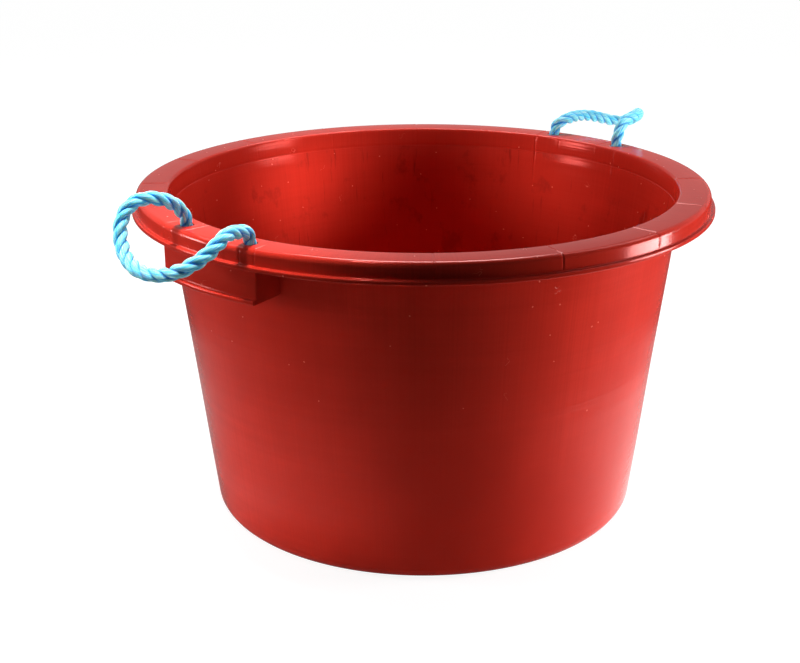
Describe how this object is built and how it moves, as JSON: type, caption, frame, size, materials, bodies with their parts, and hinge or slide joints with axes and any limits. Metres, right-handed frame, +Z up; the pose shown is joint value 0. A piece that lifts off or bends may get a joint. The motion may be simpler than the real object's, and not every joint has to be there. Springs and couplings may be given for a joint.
{
  "type": "mortar mixing tub",
  "caption": "Round tapered tub for mixing mortar by hand or paddle, with a broad turned-down rim and looped rope handles knotted in pockets under the rim.",
  "frame": {"origin": "centre of the base, on the floor that the tub stands on", "axes": "+Z up through the mouth, +Y from the front handle to the rear handle, +X to the right as seen from the front handle"},
  "size_m": [0.609, 0.7829, 0.3881],
  "materials": {
    "tub": "semi-gloss injection-moulded polypropylene, red",
    "rope": "three-strand polypropylene rope, light blue"
  },
  "bodies": {
    "tub": {"tub": "tub", "front_left_knot": "rope", "front_right_knot": "rope", "rear_left_knot": "rope", "rear_right_knot": "rope"},
    "front_handle": {"front_rope_loop": "rope"},
    "rear_handle": {"rear_rope_loop": "rope"}
  },
  "joints": [
    {"name": "front_handle_swing", "type": "hinge", "parent": "tub", "child": "front_handle", "pos_m": [0, -0.27984, 0.3563], "axis": [-1, 0, 0], "range_deg": [0, 105]},
    {"name": "rear_handle_swing", "type": "hinge", "parent": "tub", "child": "rear_handle", "pos_m": [0, 0.27984, 0.3563], "axis": [1, 0, 0], "range_deg": [-15, 100]}
  ]
}
